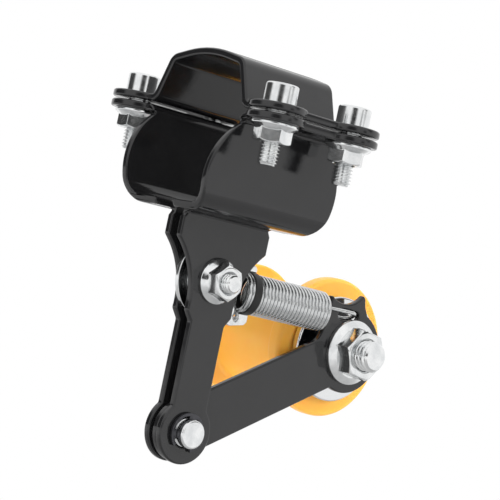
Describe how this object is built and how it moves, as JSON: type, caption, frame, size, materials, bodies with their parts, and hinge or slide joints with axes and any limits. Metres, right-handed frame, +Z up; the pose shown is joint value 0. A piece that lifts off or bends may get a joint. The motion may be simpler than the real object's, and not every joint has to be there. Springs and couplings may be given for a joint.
{
  "type": "chain adjuster",
  "caption": "Bolt-on chain adjuster: sheet-metal clamp for a swing arm, two hanging legs, and a sprung lever that carries a grooved spool roller.",
  "frame": {"origin": "middle of the clamp opening, on the parting plane of the clamp's flanges", "axes": "+X along the clamped tube towards the lever's free end, +Y along the roller's axis away from the lever, +Z up along the clamp screws"},
  "size_m": [0.1127, 0.1036, 0.1246],
  "materials": {
    "black_paint": "gloss",
    "zinc_steel": "satin",
    "spring_steel": "satin",
    "polished_steel": "polished",
    "black_steel": "satin",
    "black_rubber": "matt",
    "amber_plastic": "gloss"
  },
  "bodies": {
    "bracket": {"upper_clamp": "black_paint", "front_bracket": "black_paint", "back_bracket": "black_paint", "clamp_screw_front_left": "zinc_steel", "clamp_screw_front_right": "zinc_steel", "clamp_screw_back_left": "zinc_steel", "clamp_screw_back_right": "zinc_steel", "clamp_nut_front_left": "zinc_steel", "clamp_nut_front_right": "zinc_steel", "clamp_nut_back_left": "zinc_steel", "clamp_nut_back_right": "zinc_steel", "spring_bolt": "zinc_steel", "spring_nut": "zinc_steel", "spring_anchor": "zinc_steel", "anchor_spacer": "zinc_steel", "tension_spring": "spring_steel", "spring_ring": "black_rubber", "pivot_pin": "zinc_steel", "pivot_clip": "black_steel", "pivot_washer": "zinc_steel"},
    "lever": {"lever_arm": "black_paint", "roller_bolt": "zinc_steel", "roller_nut": "zinc_steel", "lever_spacer": "black_paint", "roller_washer": "polished_steel", "near_inner_race": "polished_steel", "near_ball_cage": "polished_steel", "far_inner_race": "polished_steel", "far_ball_cage": "polished_steel", "bearing_sleeve": "zinc_steel", "far_washer": "zinc_steel"},
    "spool": {"roller": "amber_plastic", "near_outer_race": "polished_steel", "near_seal": "black_rubber", "far_outer_race": "polished_steel", "far_seal": "black_rubber"}
  },
  "joints": [
    {"name": "lever_swing", "type": "hinge", "parent": "bracket", "child": "lever", "pos_m": [0, 0, -0.0968], "axis": [0, 1, 0], "range_deg": [0, 30], "stiffness_Nm_per_rad": 7.2, "springref_deg": -6.3, "deforming": ["tension_spring"]},
    {"name": "roller_spin", "type": "hinge", "parent": "lever", "child": "spool", "pos_m": [0.0637, 0.0308, -0.0635], "axis": [0, 1, 0], "continuous": true}
  ]
}
